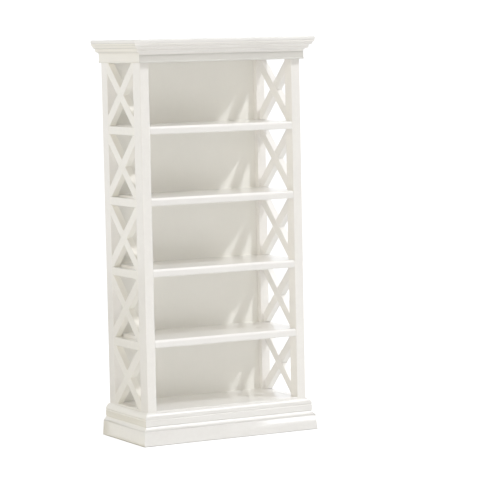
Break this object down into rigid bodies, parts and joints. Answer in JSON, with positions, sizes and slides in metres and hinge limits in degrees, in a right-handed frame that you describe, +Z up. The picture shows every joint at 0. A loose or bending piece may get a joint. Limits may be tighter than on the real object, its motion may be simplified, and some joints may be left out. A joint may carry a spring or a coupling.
{
  "type": "miniature bookcase",
  "caption": "Dolls house bookcase with open shelves, crossed lattice sides, a moulded crown and a stepped plinth, painted white.",
  "frame": {"origin": "on the floor under the middle of the crown's outline, midway between the back and the crown's front edge", "axes": "+Z up, the open front faces -Y, +X to the right of a viewer who faces the front"},
  "size_m": [0.077, 0.0392, 0.153],
  "materials": {
    "frame_paint": "warm white satin paint on wood",
    "moulding_paint": "warm white satin paint on wood",
    "shelf_paint": "warm white satin paint on wood",
    "back_panel_paint": "warm white matt paint on thin board",
    "bare_wood": "bare sanded wood"
  },
  "bodies": {
    "root": {"base_board": "bare_wood", "plinth_front": "moulding_paint", "plinth_left": "moulding_paint", "plinth_right": "moulding_paint", "base_moulding_front": "moulding_paint", "base_moulding_left": "moulding_paint", "base_moulding_right": "moulding_paint", "post_front_left": "frame_paint", "post_front_right": "frame_paint", "post_rear_left": "frame_paint", "post_rear_right": "frame_paint", "back_panel": "back_panel_paint", "bottom_shelf": "shelf_paint", "shelf_1": "shelf_paint", "shelf_2": "shelf_paint", "shelf_3": "shelf_paint", "shelf_4": "shelf_paint", "top_panel": "shelf_paint", "frieze_front": "moulding_paint", "frieze_left": "moulding_paint", "frieze_right": "moulding_paint", "crown_moulding_front": "moulding_paint", "crown_moulding_left": "moulding_paint", "crown_moulding_right": "moulding_paint", "top_board": "moulding_paint", "left_rail_0": "frame_paint", "left_rail_1": "frame_paint", "left_rail_2": "frame_paint", "left_rail_3": "frame_paint", "left_rail_4": "frame_paint", "left_rail_5": "frame_paint", "right_rail_0": "frame_paint", "right_rail_1": "frame_paint", "right_rail_2": "frame_paint", "right_rail_3": "frame_paint", "right_rail_4": "frame_paint", "right_rail_5": "frame_paint", "left_bar_rising_1": "frame_paint", "left_bar_rising_2": "frame_paint", "left_bar_rising_3": "frame_paint", "left_bar_rising_4": "frame_paint", "left_bar_rising_5": "frame_paint", "left_bar_falling_1": "frame_paint", "left_bar_falling_2": "frame_paint", "left_bar_falling_3": "frame_paint", "left_bar_falling_4": "frame_paint", "left_bar_falling_5": "frame_paint", "right_bar_rising_1": "frame_paint", "right_bar_rising_2": "frame_paint", "right_bar_rising_3": "frame_paint", "right_bar_rising_4": "frame_paint", "right_bar_rising_5": "frame_paint", "right_bar_falling_1": "frame_paint", "right_bar_falling_2": "frame_paint", "right_bar_falling_3": "frame_paint", "right_bar_falling_4": "frame_paint", "right_bar_falling_5": "frame_paint"}
  },
  "joints": []
}
